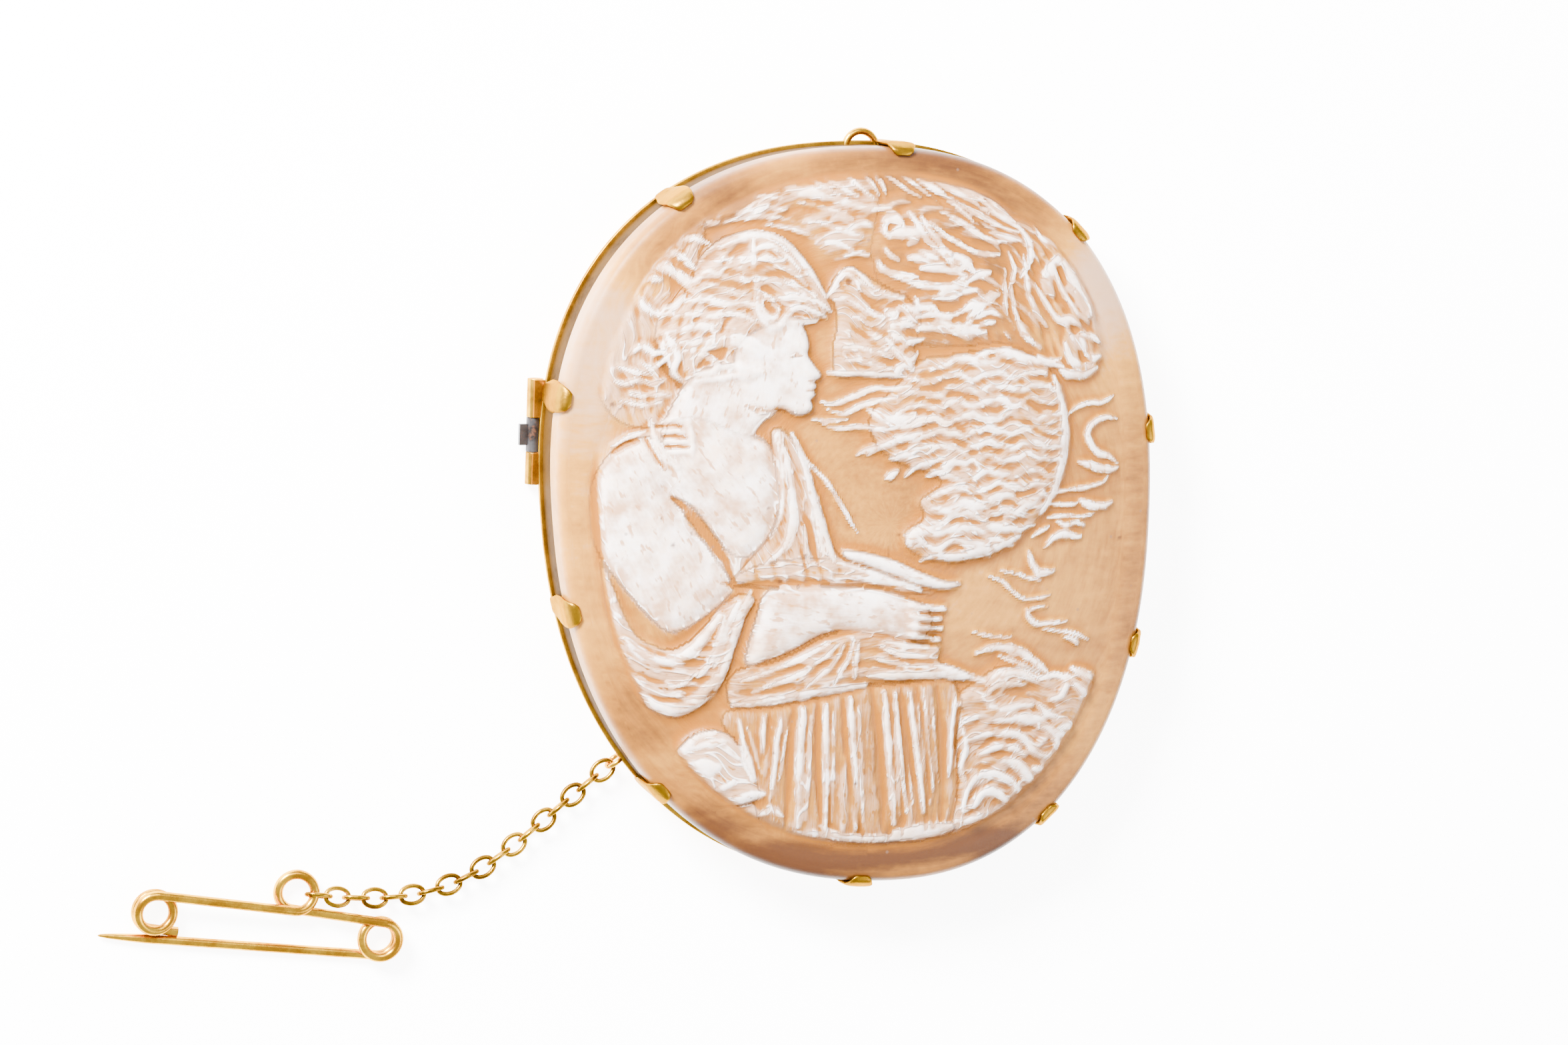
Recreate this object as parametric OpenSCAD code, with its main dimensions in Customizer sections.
// Oval shell cameo brooch in a gold claw setting, with a safety chain and its small safety pin.
// It lies on its back. Z is up, Y points to the top of the oval, and the origin is the middle
// of the brooch on the surface that it lies on.

/* [Cameo] */
// Width of the oval shell
shell_w = 50.8; // [44:0.2:56]
// Height of the oval shell
shell_h = 60; // [54:0.5:66]
// Thickness of the shell at its edge
shell_t = 2.4; // [1.8:0.1:3.2]
// Radius of the rounded front edge
shell_round = 0.9; // [0.5:0.1:1.2]
// How far the front rises from its edge to its middle
dome_h = 3.2; // [2:0.1:4.5]
// How far the hollow back rises to its middle
hollow_h = 2.6; // [1.5:0.1:3]
// Height of the highest carving above the front
relief_h = 1.2; // [0.6:0.1:1.6]

/* [Frame] */
// Thickness of the sheet metal of the wall and the back rim
sheet_t = 0.4; // [0.3:0.05:0.6]
// Depth of the ribbon wall behind the shell
wall_h = 2.4; // [1.5:0.1:3.5]
// Width of the flat back rim
rim_w = 1.7; // [1.2:0.1:2.5]
// How far the back rim stands out past the shell
rim_out = 0.2; // [0:0.05:0.3]
// Gap between the shell and its metal
seat_gap = 0.1; // [0.05:0.01:0.2]

/* [Claws] */
// Width of a claw at its bend
claw_w = 2.3; // [1.6:0.1:2.8]
// Width of a claw near its tip
claw_tip_w = 1.7; // [1.0:0.1:2]
// Thickness of a claw
claw_t = 0.4; // [0.3:0.05:0.6]
// Length of the tongue that lies on the front, past the rounded edge
claw_reach = 0.5; // [0.3:0.1:2]

/* [Hinge and brooch pin] */
// Outer diameter of the hinge tubes
tube_d = 1.3; // [1.1:0.05:1.6]
// Diameter of the hinge rivet
rivet_d = 0.6; // [0.4:0.05:0.7]
// Running clearance of the rivet in a bore, all round
rivet_gap = 0.03; // [0.02:0.01:0.06]
// Length of the upper hinge tube
upper_tube_l = 3.1; // [2:0.1:4]
// Length of the lower hinge tube
lower_tube_l = 2.6; // [2:0.1:4]
// Length of the pin's own knuckle between the tubes
knuckle_l = 2.7; // [2:0.1:3.5]
// Gap at each end of the knuckle
knuckle_gap = 0.06; // [0.04:0.01:0.12]
// Height of the hinge above the middle of the oval
hinge_y = 6.4; // [0:0.2:10]
// Thickness of the brooch pin's stem
stem_d = 0.8; // [0.6:0.05:0.95]
// Length of the tapered point
point_l = 6; // [3:0.5:10]
// How far the stem runs past the middle of the catch
stem_past = 2; // [1:0.1:3]
// Reach of the heel outside the knuckle
heel_reach = 0.6; // [0.3:0.05:0.8]
// Length of the heel along the hinge
heel_l = 1.7; // [1:0.1:2.2]

/* [Catch and loops] */
// Outer diameter of the curled catch
catch_d = 1.6; // [1.5:0.05:2]
// Thickness of the catch's strip
catch_t = 0.3; // [0.25:0.05:0.4]
// Length of the catch along the stem
catch_l = 2; // [1.4:0.1:3]
// Opening angle of the catch's mouth
catch_mouth = 130; // [110:5:150]
// Clearance between the stem and the lips of the catch
catch_gap = 0.15; // [0.1:0.05:0.4]
// Outer diameter of the pendant loop at the top
loop_d = 3.2; // [2.6:0.1:4]
// Wire of the pendant loop
loop_wire = 0.6; // [0.4:0.05:0.8]
// How far the pendant loop stands out past the rim
loop_out = 1.25; // [0.8:0.05:1.8]
// Outer diameter of the chain ring
ring_d = 1.9; // [1.7:0.05:2.2]
// Wire of the chain ring
ring_wire = 0.4; // [0.3:0.05:0.5]

/* [Chain] */
// Outer length of a link
link_l = 2.3; // [2.1:0.05:2.8]
// Outer width of a link
link_w = 1.75; // [1.6:0.05:2]
// Wire of a link
link_wire = 0.33; // [0.25:0.01:0.38]
// Gap between two links where they cross
link_gap = 0.08; // [0.05:0.01:0.15]

/* [Safety pin] */
// Wire of the safety pin
pin_wire = 0.78; // [0.6:0.02:0.84]
// Outer diameter of its coils
coil_d = 3.7; // [3.2:0.1:4.4]
// Gap between the turns of a coil
coil_gap = 0.06; // [0.04:0.01:0.12]
// Distance from the middle of the spring coil to the middle of the hook coil
pin_l = 18.6; // [15:0.1:22]
// Length of the point past the hook coil
pin_point_l = 4.2; // [3:0.1:6]

/* [Hidden] */
CHAIN_N = 18;
LINK_NAMES = [for (i = [1 : CHAIN_N]) str("chain_link_", i < 10 ? "0" : "", i)];

$fn = 48;

// Colours
GOLD = [0.86, 0.66, 0.30];
OXIDE = [0.33, 0.30, 0.29];
SHELL = [0.93, 0.80, 0.66];

// The oval: a squared ellipse, a little wider above than below, leaning a little to the left
OVAL_POWER = 2.3;
OVAL_EGG = 0.058;
OVAL_LEAN = -0.05;
OVAL_LIFT = 0.043;
OVAL_SIDES = 96;

// Places of the ten claws and of the two loops round the oval, in degrees from the right side
CLAW_ANGLES = [15, 51, 83, 118, 157, 197, 231, 269, 305, 337];
LOOP_ANGLE = 86.3;
RING_ANGLE = 226;

// The safety pin's place on the surface and its turn, the eyelet's place along it, the side
// of the eyelet that holds the chain, the turns of each coil, and the shares that shape its
// point and tail
PIN_PLACE = [-56.3, -31.4];
PIN_TURN = -9;
EYELET_SHARE = 0.6;
EYELET_HOLD = 0;
COIL_TURNS = 1.5;
POINT_SHARES = [0.15, 0.45, 0.9];
TIP_SHARE = 0.12;
TAIL_SHARE = 0.6;
COIL_STEP = 20;
PIN_SIDES = 10;

// The chain: roll of its links, steps in each arc of a link, sides of its wire, how fast the
// chain's ends settle to the surface, and the step along its bow
LINK_ROLL = 15;
LINK_ARC_STEPS = 4;
LINK_SIDES = 6;
CHAIN_SETTLE = 8;
BOW_STEP = 1 / 60;

// Heights, from the surface that the brooch lies on
hinge_z = tube_d / 2;
solder_h = 0.1;
rim_z = tube_d + solder_h;
wall_z = rim_z + sheet_t;
seat_z = wall_z + wall_h;
shell_z = seat_z + seat_gap;
side_z = shell_z + shell_t - shell_round;
front_z = shell_z + shell_t;

// Point of the oval at an angle, moved outward by a small distance
function oval(angle, out = 0) =
    let (
        half_w = shell_w / 2 + out,
        half_h = shell_h / 2 + out,
        reach = pow(pow(abs(cos(angle)) / half_w, OVAL_POWER)
                  + pow(abs(sin(angle)) / half_h, OVAL_POWER), -1 / OVAL_POWER),
        x = reach * cos(angle),
        y = reach * sin(angle)
    )
    [x * (1 + OVAL_EGG * y / half_h) + OVAL_LEAN * y, y * (1 + OVAL_LIFT * x / half_w)];

// Direction square to the oval's edge, in degrees
function edge_way(angle) =
    let (step = oval(angle + 1) - oval(angle - 1))
    atan2(-step[0], step[1]);

function oval_points(out) =
    [for (i = [0 : OVAL_SIDES - 1]) oval(360 * i / OVAL_SIDES, out)];

// Angle at which the left side of the oval passes the height of the hinge, found by halving
function left_angle(y, low = 100, high = 200, tries = 20) =
    let (mid = (low + high) / 2)
    tries == 0 ? mid
    : oval(mid)[1] > y ? left_angle(y, mid, high, tries - 1)
    : left_angle(y, low, mid, tries - 1);
function right_angle(y, low = -60, high = 60, tries = 20) =
    let (mid = (low + high) / 2)
    tries == 0 ? mid
    : oval(mid)[1] < y ? right_angle(y, mid, high, tries - 1)
    : right_angle(y, low, mid, tries - 1);

// The relief: rows of round-topped strokes, from one point to another.
// Columns: x and y of the start, x and y of the end, as shares of the half width and half
// height, then the stroke's half width as a share of the half width, then its height as a
// share of the relief's height.
FROM_X = 0;
FROM_Y = 1;
TO_X = 2;
TO_Y = 3;
BROAD = 4;
RISE = 5;

// Seated figure: hair, face, neck, shoulders, arms and hands
FIGURE = [
    [-0.44, 0.60, -0.36, 0.58, 0.19, 0.95],
    [-0.62, 0.49, -0.48, 0.48, 0.12, 0.80],
    [-0.36, 0.40, -0.34, 0.44, 0.11, 1.00],
    [-0.45, 0.38, -0.50, 0.24, 0.11, 0.75],
    [-0.71, 0.10, -0.70, 0.02, 0.20, 1.00],
    [-0.68, 0.00, -0.62, -0.20, 0.14, 0.90],
    [-0.48, 0.06, -0.46, 0.02, 0.18, 0.95],
    [-0.40, -0.28, -0.10, -0.22, 0.11, 0.95],
    [-0.10, -0.22, 0.14, -0.25, 0.09, 0.90],
    [-0.06, -0.09, 0.26, -0.16, 0.04, 0.70],
    [-0.73, 0.64, -0.62, 0.66, 0.08, 0.60]
];

// Her dress: folds at the breast, the round drape at the hip, the lap and its hem
DRESS = [
    [-0.30, 0.24, -0.20, -0.08, 0.06, 0.55],
    [-0.30, 0.28, -0.07, 0.00, 0.03, 0.55],
    [-0.80, -0.18, -0.76, -0.38, 0.06, 0.60],
    [-0.76, -0.38, -0.60, -0.50, 0.07, 0.65],
    [-0.60, -0.50, -0.46, -0.38, 0.07, 0.65],
    [-0.46, -0.38, -0.42, -0.20, 0.06, 0.60],
    [-0.40, -0.42, -0.05, -0.36, 0.07, 0.55],
    [-0.42, -0.48, 0.24, -0.41, 0.04, 0.60],
    [-0.05, -0.36, 0.22, -0.38, 0.06, 0.55]
];

// The bird: head, beak, neck, body, tail strands, wing roots and leafy ends
BIRD = [
    [-0.12, 0.64, -0.08, 0.63, 0.07, 0.75],
    [-0.14, 0.60, -0.19, 0.55, 0.03, 0.60],
    [-0.04, 0.58, 0.06, 0.46, 0.11, 0.60],
    [0.20, 0.22, 0.46, 0.20, 0.20, 0.80],
    [0.30, 0.36, 0.44, 0.34, 0.16, 0.75],
    [0.36, 0.06, 0.48, 0.08, 0.14, 0.75],
    [0.12, -0.05, 0.42, -0.05, 0.06, 0.70],
    [0.10, 0.34, -0.22, 0.33, 0.05, 0.55],
    [0.10, 0.26, -0.14, 0.22, 0.05, 0.50],
    [0.02, 0.80, 0.24, 0.66, 0.09, 0.75],
    [0.06, 0.56, 0.36, 0.54, 0.07, 0.70],
    [0.56, 0.66, 0.70, 0.54, 0.07, 0.75],
    [0.66, 0.50, 0.72, 0.40, 0.07, 0.70],
    [0.74, 0.30, 0.72, 0.20, 0.03, 0.50],
    [0.74, 0.18, 0.84, 0.12, 0.03, 0.50],
    [0.66, 0.06, 0.82, 0.04, 0.03, 0.50]
];

// The ground: stone seat, bank under the skirt and rocks at the right
GROUND = [
    [-0.54, -0.64, -0.46, -0.66, 0.12, 0.75],
    [-0.48, -0.74, -0.36, -0.78, 0.07, 0.60],
    [-0.40, -0.81, -0.02, -0.87, 0.04, 0.60],
    [-0.02, -0.87, 0.40, -0.84, 0.05, 0.65],
    [0.40, -0.84, 0.64, -0.68, 0.06, 0.65],
    [0.42, -0.74, 0.52, -0.70, 0.13, 0.55],
    [0.40, -0.56, 0.54, -0.52, 0.12, 0.60],
    [0.62, -0.56, 0.74, -0.50, 0.09, 0.60],
    [0.36, -0.38, 0.72, -0.42, 0.05, 0.60],
    [0.54, -0.24, 0.78, -0.36, 0.03, 0.45]
];

// Fans of long feathers. Columns: x and y of the root, first and last angle, number of
// feathers, distance of their near ends from the root, distance of the first and of the last
// far end, half width of one feather (all in half widths), height.
ROOT_X = 0;
ROOT_Y = 1;
FIRST = 2;
LAST = 3;
COUNT = 4;
INNER = 5;
OUTER_FIRST = 6;
OUTER_LAST = 7;
QUILL = 8;
LIFT = 9;
FANS = [
    [0.04, 0.80, 168, 187, 4, 0.10, 0.40, 0.78, 0.042, 0.55],
    [0.46, 0.70, 118, 172, 5, 0.06, 0.26, 0.52, 0.040, 0.55],
    [0.66, 0.40, 92, 150, 4, 0.06, 0.30, 0.34, 0.045, 0.55]
];

// Upright pleats of the skirt: place of the first and last one, top, foot, number, slant
PLEAT_X = [-0.34, 0.30];
PLEAT_Y = [-0.50, -0.84];
PLEAT_N = 9;
PLEAT_SLANT = 0.06;
PLEAT_BROAD = 0.036;
PLEAT_RISE = 0.6;

function fan_strokes(fan) =
    [for (i = [0 : fan[COUNT] - 1])
        let (
            share = i / (fan[COUNT] - 1),
            angle = fan[FIRST] + (fan[LAST] - fan[FIRST]) * share,
            reach = fan[OUTER_FIRST] + (fan[OUTER_LAST] - fan[OUTER_FIRST]) * share,
            way = [cos(angle), sin(angle) * shell_w / shell_h],
            root = [fan[ROOT_X], fan[ROOT_Y]],
            near = root + way * fan[INNER],
            far = root + way * reach
        )
        [near[0], near[1], far[0], far[1], fan[QUILL], fan[LIFT]]];

PLEATS = [for (i = [0 : PLEAT_N - 1])
    let (x = PLEAT_X[0] + (PLEAT_X[1] - PLEAT_X[0]) * i / (PLEAT_N - 1))
    [x, PLEAT_Y[0], x + PLEAT_SLANT, PLEAT_Y[1], PLEAT_BROAD, PLEAT_RISE]];

STROKES = concat(FIGURE, DRESS, BIRD, GROUND, PLEATS, [for (fan = FANS) each fan_strokes(fan)]);

// Height of one stroke over a point
function stroke_rise(point, row) =
    let (
        half = [shell_w / 2, shell_h / 2],
        start = [row[FROM_X] * half[0], row[FROM_Y] * half[1]],
        run = [row[TO_X] * half[0], row[TO_Y] * half[1]] - start,
        along = max(0, min(1, (point - start) * run / (run * run))),
        away = norm(point - start - run * along) / (row[BROAD] * half[0])
    )
    away < 1 ? row[RISE] * sqrt(1 - away * away) : 0;

function relief(point) = relief_h * max([for (row = STROKES) stroke_rise(point, row)]);

// The front is a grid stretched from a square to the oval, so that its cells stay even. The
// carving stops at a share of the way to the edge, and the margin outside it is plain.
GRID = 44;
EDGE_RINGS = 3;
MARGIN = 0.92;
MARGIN_EASE = 0.04;
BACK_RINGS = [0.84, 0.55, 0.25];

function side_value(i) = 2 * i / GRID - 1;
function disc_point(u, v) = [u * sqrt(1 - v * v / 2), v * sqrt(1 - u * u / 2)];
function front_point(i, j) =
    let (
        disc = disc_point(side_value(i), side_value(j)),
        share = norm(disc),
        angle = atan2(disc[1] * shell_h, disc[0] * shell_w),
        flat = oval(angle, -shell_round) * share,
        rise = relief(flat) * max(0, min(1, (MARGIN - share) / MARGIN_EASE))
    )
    [flat[0], flat[1], front_z + dome_h * (1 - share * share) + rise];

// Walk round the border of the grid, and the angles of the oval that belong to it
BORDER = concat(
    [for (i = [0 : GRID - 1]) [i, 0]],
    [for (j = [0 : GRID - 1]) [GRID, j]],
    [for (i = [0 : GRID - 1]) [GRID - i, GRID]],
    [for (j = [0 : GRID - 1]) [0, GRID - j]]
);
BORDER_N = len(BORDER);
BORDER_ANGLES = [for (cell = BORDER)
    let (disc = disc_point(side_value(cell[0]), side_value(cell[1])))
    atan2(disc[1] * shell_h, disc[0] * shell_w)];

function ring_at(out, z) = [for (angle = BORDER_ANGLES) [each oval(angle, out), z]];
function back_ring(share) =
    [for (angle = BORDER_ANGLES)
        [each (oval(angle) * share), shell_z + hollow_h * (1 - share * share)]];

module cameo() {
    front = [for (j = [0 : GRID]) for (i = [0 : GRID]) front_point(i, j)];
    edge = [for (k = [1 : EDGE_RINGS])
        let (turn = 90 * k / EDGE_RINGS)
        each ring_at(shell_round * (sin(turn) - 1), side_z + shell_round * cos(turn))];
    foot = ring_at(0, shell_z);
    back = [for (share = BACK_RINGS) each back_ring(share)];
    points = concat(front, edge, foot, back, [[0, 0, shell_z + hollow_h]]);
    first_ring = len(front);
    ring_n = EDGE_RINGS + 1 + len(BACK_RINGS);
    last = len(points) - 1;
    front_faces = [for (j = [0 : GRID - 1]) for (i = [0 : GRID - 1])
        let (a = j * (GRID + 1) + i, b = a + 1, c = b + GRID + 1, d = a + GRID + 1)
        each [[a, c, b], [a, d, c]]];
    border_ids = [for (cell = BORDER) cell[1] * (GRID + 1) + cell[0]];
    function id(ring, k) =
        ring == 0 ? border_ids[k % BORDER_N] : first_ring + (ring - 1) * BORDER_N + k % BORDER_N;
    ring_faces = [for (ring = [0 : ring_n - 1]) for (k = [0 : BORDER_N - 1])
        each [[id(ring, k), id(ring, k + 1), id(ring + 1, k + 1)],
              [id(ring, k), id(ring + 1, k + 1), id(ring + 1, k)]]];
    middle_faces = [for (k = [0 : BORDER_N - 1]) [id(ring_n, k), id(ring_n, k + 1), last]];
    color(SHELL) polyhedron(points, concat(front_faces, ring_faces, middle_faces), convexity = 8);
}

// An upright band between two outlines of the oval
module oval_band(outer, inner, z, height) {
    translate([0, 0, z])
        linear_extrude(height)
            difference() {
                polygon(oval_points(outer));
                polygon(oval_points(inner));
            }
}

// Section of a claw: up the side of the shell, round its edge and onto its front.
// The first number of a point is the distance outside the shell, the second is the height.
CLAW_STEP = 15;
claw_lean = atan(2 * dome_h / (shell_w / 2 - shell_round));
function claw_arc(radius) =
    [for (turn = [0 : CLAW_STEP : 90])
        [-shell_round + radius * cos(turn), side_z + radius * sin(turn)]];
function claw_end(radius) =
    [-shell_round - claw_reach * cos(claw_lean), side_z + radius + claw_reach * sin(claw_lean)];
claw_in = shell_round + seat_gap;
claw_out = claw_in + claw_t;
claw_root = -sheet_t / 2;
claw_tip_x = claw_end(claw_in)[0];

module claw_section() {
    foot_z = rim_z + sheet_t / 4;
    root_z = seat_z - sheet_t / 2;
    outside = concat([[claw_out - shell_round, foot_z]], claw_arc(claw_out), [claw_end(claw_out)]);
    inside = concat([claw_end(claw_in)], [for (i = [len(claw_arc(claw_in)) - 1 : -1 : 0])
        claw_arc(claw_in)[i]], [[seat_gap, root_z], [claw_root, root_z], [claw_root, foot_z]]);
    polygon(concat(outside, inside));
}

// Outline of a claw seen from the front: straight legs and a rounded, narrower tip
module claw_plan() {
    tip_r = claw_tip_w / 2;
    tip_middle = claw_tip_x + tip_r;
    leg_x = max(-shell_round, tip_middle);
    union() {
        translate([tip_middle, 0]) circle(tip_r);
        polygon([
            [tip_middle, tip_r], [tip_middle, -tip_r],
            [leg_x, -claw_w / 2], [claw_out, -claw_w / 2],
            [claw_out, claw_w / 2], [leg_x, claw_w / 2]
        ]);
    }
}

module claw(angle) {
    place = oval(angle);
    translate([place[0], place[1], 0])
        rotate(edge_way(angle))
            intersection() {
                translate([0, claw_w / 2, 0])
                    rotate([90, 0, 0])
                        linear_extrude(claw_w) claw_section();
                linear_extrude(front_z + dome_h) claw_plan();
            }
}

// Hinge: its axis runs along Y just outside the rim, so that the heel of the pin swings up
// clear of it
HINGE_CLEAR = 0.12;
hinge_out = rim_out + HINGE_CLEAR;
hinge_x = oval(left_angle(hinge_y))[0] - hinge_out;
upper_tube_y = hinge_y + knuckle_l / 2 + knuckle_gap;
lower_tube_y = hinge_y - knuckle_l / 2 - knuckle_gap - lower_tube_l;
bore_d = rivet_d + 2 * rivet_gap;

module along_y(y, z = hinge_z) {
    translate([hinge_x, y, z]) rotate([-90, 0, 0]) children();
}

// A tube with a block of solder that carries it under the rim
module hinge_tube(y, length) {
    block_w = tube_d / 2 + hinge_out + rim_w / 2;
    along_y(y) cylinder(d = tube_d, h = length);
    translate([hinge_x - tube_d / 4, y, hinge_z])
        cube([block_w + tube_d / 4, length, rim_z + sheet_t / 2 - hinge_z]);
}

// Catch: a curled strip under the rim, whose mouth faces the stem. The block that carries it
// sinks into the strip by a share of its thickness.
CATCH_SINK = 0.8;
catch_x = oval(right_angle(hinge_y))[0] - rim_w / 2 - seat_gap;
catch_y = hinge_y + stem_d / 2 + catch_gap + catch_d / 2 * cos(catch_mouth / 2);
catch_z = catch_d / 2;

module catch() {
    neck_z = catch_d - catch_t * CATCH_SINK;
    translate([catch_x - catch_l / 2, catch_y, catch_z])
        rotate([90, 0, 90])
            rotate([0, 0, 180 + catch_mouth / 2])
                rotate_extrude(angle = 360 - catch_mouth)
                    translate([catch_d / 2 - catch_t, 0]) square([catch_t, catch_l]);
    translate([catch_x - catch_l / 2, catch_y + catch_t, neck_z])
        cube([catch_l, catch_d / 3, rim_z + sheet_t / 2 - neck_z]);
}

module wire_ring(outer, wire) {
    rotate_extrude() translate([(outer - wire) / 2, 0]) circle(d = wire);
}

loop_place = oval(LOOP_ANGLE);
loop_z = rim_z + sheet_t / 2;
module pendant_loop() {
    translate([loop_place[0], loop_place[1], 0])
        rotate(edge_way(LOOP_ANGLE))
            translate([loop_out - loop_d / 2, 0, loop_z]) wire_ring(loop_d, loop_wire);
}

// Chain ring: stands on edge at the rim, low enough to touch the surface
ring_place = oval(RING_ANGLE);
ring_way = edge_way(RING_ANGLE);
ring_middle = ring_place + [cos(ring_way), sin(ring_way)] * (ring_d / 2 - ring_wire);
ring_z = ring_d / 2;
module chain_ring() {
    translate([ring_middle[0], ring_middle[1], ring_z])
        rotate([90, 0, ring_way]) wire_ring(ring_d, ring_wire);
}

module setting() {
    color(GOLD) difference() {
        union() {
            oval_band(rim_out, rim_out - rim_w, rim_z, sheet_t);
            oval_band(-seat_gap, -seat_gap - sheet_t, wall_z - sheet_t / 2, wall_h + sheet_t / 2);
            for (angle = CLAW_ANGLES) claw(angle);
            hinge_tube(upper_tube_y, upper_tube_l);
            hinge_tube(lower_tube_y, lower_tube_l);
            catch();
            pendant_loop();
            chain_ring();
        }
        along_y(lower_tube_y - 1)
            cylinder(d = bore_d, h = upper_tube_y + upper_tube_l - lower_tube_y + 2);
    }
}

module hinge_rivet() {
    color(GOLD) along_y(lower_tube_y)
        cylinder(d = rivet_d, h = upper_tube_y + upper_tube_l - lower_tube_y);
}

// Brooch pin: knuckle, heel and a stem that tapers to its point
stem_l = catch_x + stem_past - hinge_x;
stem_tip_d = stem_d / 5;
module brooch_pin() {
    knuckle_d = tube_d;
    color(OXIDE) difference() {
        union() {
            along_y(hinge_y - knuckle_l / 2) cylinder(d = knuckle_d, h = knuckle_l);
            translate([hinge_x - knuckle_d / 2 - heel_reach, hinge_y - heel_l / 2, hinge_z - stem_d / 4])
                cube([knuckle_d / 2 + heel_reach, heel_l, stem_d / 2]);
            translate([hinge_x, hinge_y, hinge_z]) rotate([0, 90, 0])
                cylinder(d = stem_d, h = stem_l - point_l);
            translate([hinge_x + stem_l - point_l, hinge_y, hinge_z]) rotate([0, 90, 0])
                cylinder(d1 = stem_d, d2 = stem_tip_d, h = point_l);
        }
        along_y(hinge_y - knuckle_l) cylinder(d = bore_d, h = 2 * knuckle_l);
    }
}

// Safety pin, in its own plan: X runs from the middle of the hook coil to the spring coil,
// the stem lies on the side of minus Y, and the eyelet stands out on the side of plus Y
coil_r = (coil_d - pin_wire) / 2;
turn_rise = pin_wire + coil_gap;
floor_z = pin_wire / 2;
top_z = floor_z + COIL_TURNS * turn_rise;
eyelet_x = pin_l * EYELET_SHARE;
eyelet_z = floor_z + coil_gap;
stem_heading = atan(turn_rise / pin_l);

// Points of a coil: middle, first angle, sweep (plus turns left), first and last height
function coil_points(middle, first, sweep, low, high) =
    let (n = ceil(abs(sweep) / COIL_STEP))
    [for (i = [0 : n])
        let (angle = first + sweep * i / n)
        [middle[0] + coil_r * cos(angle), middle[1] + coil_r * sin(angle), low + (high - low) * i / n]];

function pin_path() =
    let (
        stem_end = coil_r * [sin(stem_heading), -cos(stem_heading)] + [pin_l, 0],
        stem_way = [cos(stem_heading), sin(stem_heading)],
        point = stem_end - stem_way * (pin_l + pin_point_l)
    )
    concat(
        [[each point, floor_z]],
        [for (share = POINT_SHARES) [each (point + stem_way * share * pin_point_l), floor_z]],
        coil_points([pin_l, 0], stem_heading - 90, 360 * COIL_TURNS - stem_heading, floor_z, top_z),
        coil_points([eyelet_x, 2 * coil_r], -90, -360, eyelet_z, eyelet_z + turn_rise),
        coil_points([0, 0], 90, 360 * COIL_TURNS, top_z, floor_z),
        [[TAIL_SHARE * coil_d, -coil_r, floor_z]]
    );

// Radius of the wire at each ring of the sweep: the point tapers, the rest is round wire
function pin_radii(count) =
    [for (i = [0 : count - 1])
        pin_wire / 2 * (i == 0 ? TIP_SHARE
            : i <= len(POINT_SHARES) ? TIP_SHARE + (1 - TIP_SHARE) * sqrt(POINT_SHARES[i - 1])
            : 1)];

// A round wire swept along points that run nearly level, closed on itself or with two ends
module swept_wire(path, radii, sides, closed = false) {
    count = len(path);
    function next(i) = closed ? path[(i + 1) % count] : path[min(i + 1, count - 1)];
    function before(i) = closed ? path[(i + count - 1) % count] : path[max(i - 1, 0)];
    points = [for (i = [0 : count - 1])
        let (
            run = next(i) - before(i),
            way = run / norm(run),
            side = cross([0, 0, 1], way) / norm(cross([0, 0, 1], way)),
            up = cross(way, side)
        )
        for (k = [0 : sides - 1])
            path[i] + radii[i] * (cos(360 * k / sides) * side + sin(360 * k / sides) * up)];
    skin = [for (i = [0 : closed ? count - 1 : count - 2]) for (k = [0 : sides - 1])
        let (
            here = i * sides,
            there = (i + 1) % count * sides,
            a = k,
            b = (k + 1) % sides
        )
        each [[here + a, there + b, here + b], [here + a, there + a, there + b]]];
    caps = closed ? [] : [
        [for (k = [0 : sides - 1]) k],
        [for (k = [sides - 1 : -1 : 0]) (count - 1) * sides + k]
    ];
    polyhedron(points, concat(skin, caps), convexity = 10);
}

module safety_pin() {
    path = pin_path();
    color(GOLD)
        translate([each PIN_PLACE, 0])
            rotate(PIN_TURN)
                swept_wire(path, pin_radii(len(path)), PIN_SIDES);
}

// Middle line of a link: two small end arcs and two long side arcs that meet smoothly
LINK_TURN = 60;
link_half_l = (link_l - link_wire) / 2;
link_half_w = (link_w - link_wire) / 2;
link_ease = 1 / cos(LINK_TURN) - tan(LINK_TURN);
link_end_r = (link_half_w - link_half_l * link_ease) / (1 - link_ease);
link_end_x = link_half_l - link_end_r;
link_side_r = link_end_r + link_end_x / cos(LINK_TURN);
link_pitch = link_l - 2 * link_wire - link_gap;
link_rest_z = link_wire / 2 + link_half_w * cos(LINK_ROLL);

// A link's end wire and the wire that it holds lie one wire and one gap apart. The points
// where the chain changes hands lie halfway between the two.
function reach_past(wire) = (wire + link_wire) / 2 + link_gap - (link_wire + link_gap) / 2;

// Start of the chain at the chain ring and its end at the eyelet of the safety pin
chain_start = ring_middle
    + [cos(ring_way), sin(ring_way)] * ((ring_d - ring_wire) / 2 - reach_past(ring_wire));
eyelet_way = EYELET_HOLD + PIN_TURN;
eyelet_local = [eyelet_x, 2 * coil_r] + coil_r * [cos(EYELET_HOLD), sin(EYELET_HOLD)];
eyelet_hold_z = eyelet_z + turn_rise * (270 - EYELET_HOLD) / 360;
function pin_to_world(p) = PIN_PLACE
    + [p[0] * cos(PIN_TURN) - p[1] * sin(PIN_TURN), p[0] * sin(PIN_TURN) + p[1] * cos(PIN_TURN)];
chain_end = pin_to_world(eyelet_local) - [cos(eyelet_way), sin(eyelet_way)] * reach_past(pin_wire);

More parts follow.
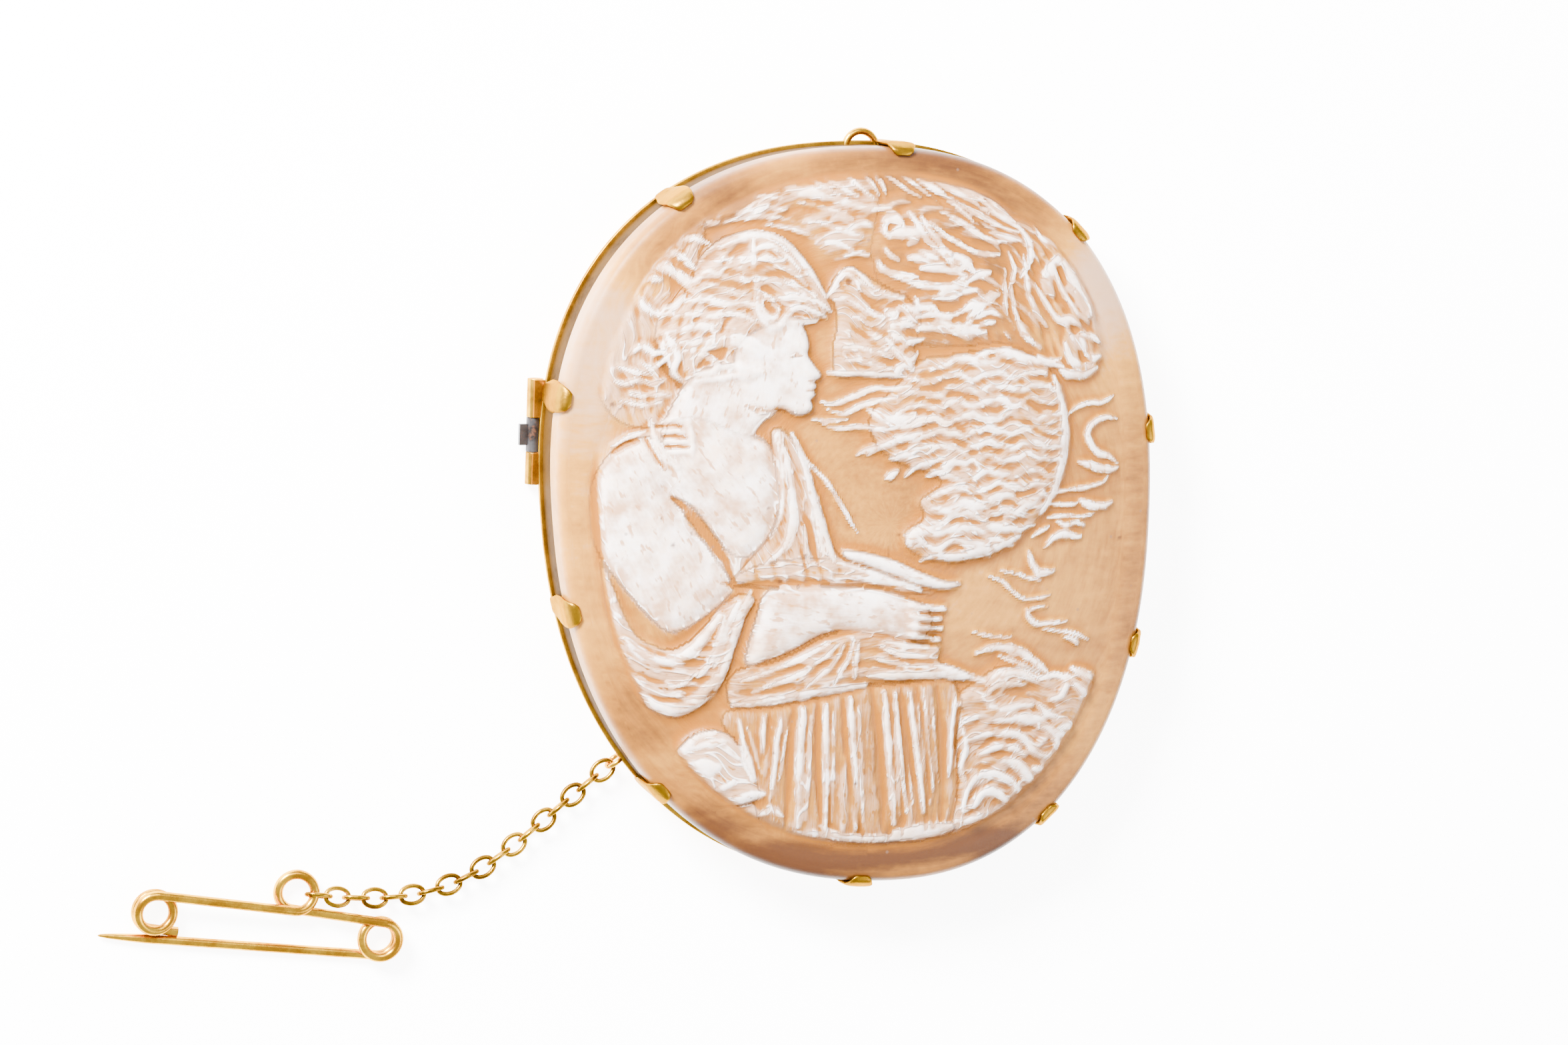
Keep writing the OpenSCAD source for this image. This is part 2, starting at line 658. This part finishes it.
// The chain lies in one easy curve between them. Its handles are as long as the chain's
// length asks for, so a longer chain bows out further.
function bow_point(t, handle) =
    let (
        b = chain_start + handle * [cos(ring_way), sin(ring_way)],
        c = chain_end + handle * [cos(eyelet_way), sin(eyelet_way)],
        s = 1 - t
    )
    s * s * s * chain_start + 3 * s * s * t * b + 3 * s * t * t * c + t * t * t * chain_end;
function bow_length(handle, t = 0) =
    t >= 1 ? 0
    : norm(bow_point(t + BOW_STEP, handle) - bow_point(t, handle)) + bow_length(handle, t + BOW_STEP);
function fit_handle(length, low = 0, high = 60, tries = 24) =
    let (mid = (low + high) / 2)
    tries == 0 ? mid
    : bow_length(mid) < length ? fit_handle(length, mid, high, tries - 1)
    : fit_handle(length, low, mid, tries - 1);
chain_length = CHAIN_N * link_pitch;
bow_handle = fit_handle(chain_length);

// Place along the bow at which a given length of chain has been laid
function bow_share(length, t = 0) =
    let (step = norm(bow_point(t + BOW_STEP, bow_handle) - bow_point(t, bow_handle)))
    length <= step || t >= 1 ? t + BOW_STEP * length / step : bow_share(length - step, t + BOW_STEP);
function crossing(i) =
    let (
        share = i / CHAIN_N,
        z = link_rest_z + (ring_z - link_rest_z) * pow(1 - share, CHAIN_SETTLE)
            + (eyelet_hold_z - link_rest_z) * pow(share, CHAIN_SETTLE)
    )
    [each bow_point(bow_share(i * link_pitch), bow_handle), z];

function link_arc(middle, radius, first, sweep) =
    [for (i = [0 : LINK_ARC_STEPS - 1])
        let (angle = first + sweep * i / LINK_ARC_STEPS)
        [middle[0] + radius * cos(angle), middle[1] + radius * sin(angle), 0]];

module link() {
    side_y = link_end_x * tan(LINK_TURN);
    side_sweep = 180 - 2 * LINK_TURN;
    path = concat(
        link_arc([link_end_x, 0], link_end_r, -LINK_TURN, 2 * LINK_TURN),
        link_arc([0, -side_y], link_side_r, LINK_TURN, side_sweep),
        link_arc([-link_end_x, 0], link_end_r, 180 - LINK_TURN, 2 * LINK_TURN),
        link_arc([0, side_y], link_side_r, 180 + LINK_TURN, side_sweep)
    );
    swept_wire(path, [for (p = path) link_wire / 2], LINK_SIDES, true);
}

// Links lie in turn nearly flat and nearly on edge
module chain_link(i) {
    start = crossing(i);
    run = crossing(i + 1) - start;
    flat_run = norm([run[0], run[1]]);
    color(GOLD)
        translate(start + run / 2)
            rotate([0, -atan2(run[2], flat_run), atan2(run[1], run[0])])
                rotate([LINK_ROLL + (i % 2 == 0 ? 0 : 90), 0, 0]) link();
}

cameo();
setting();
hinge_rivet();
brooch_pin();
safety_pin();
for (i = [0 : CHAIN_N - 1]) chain_link(i);
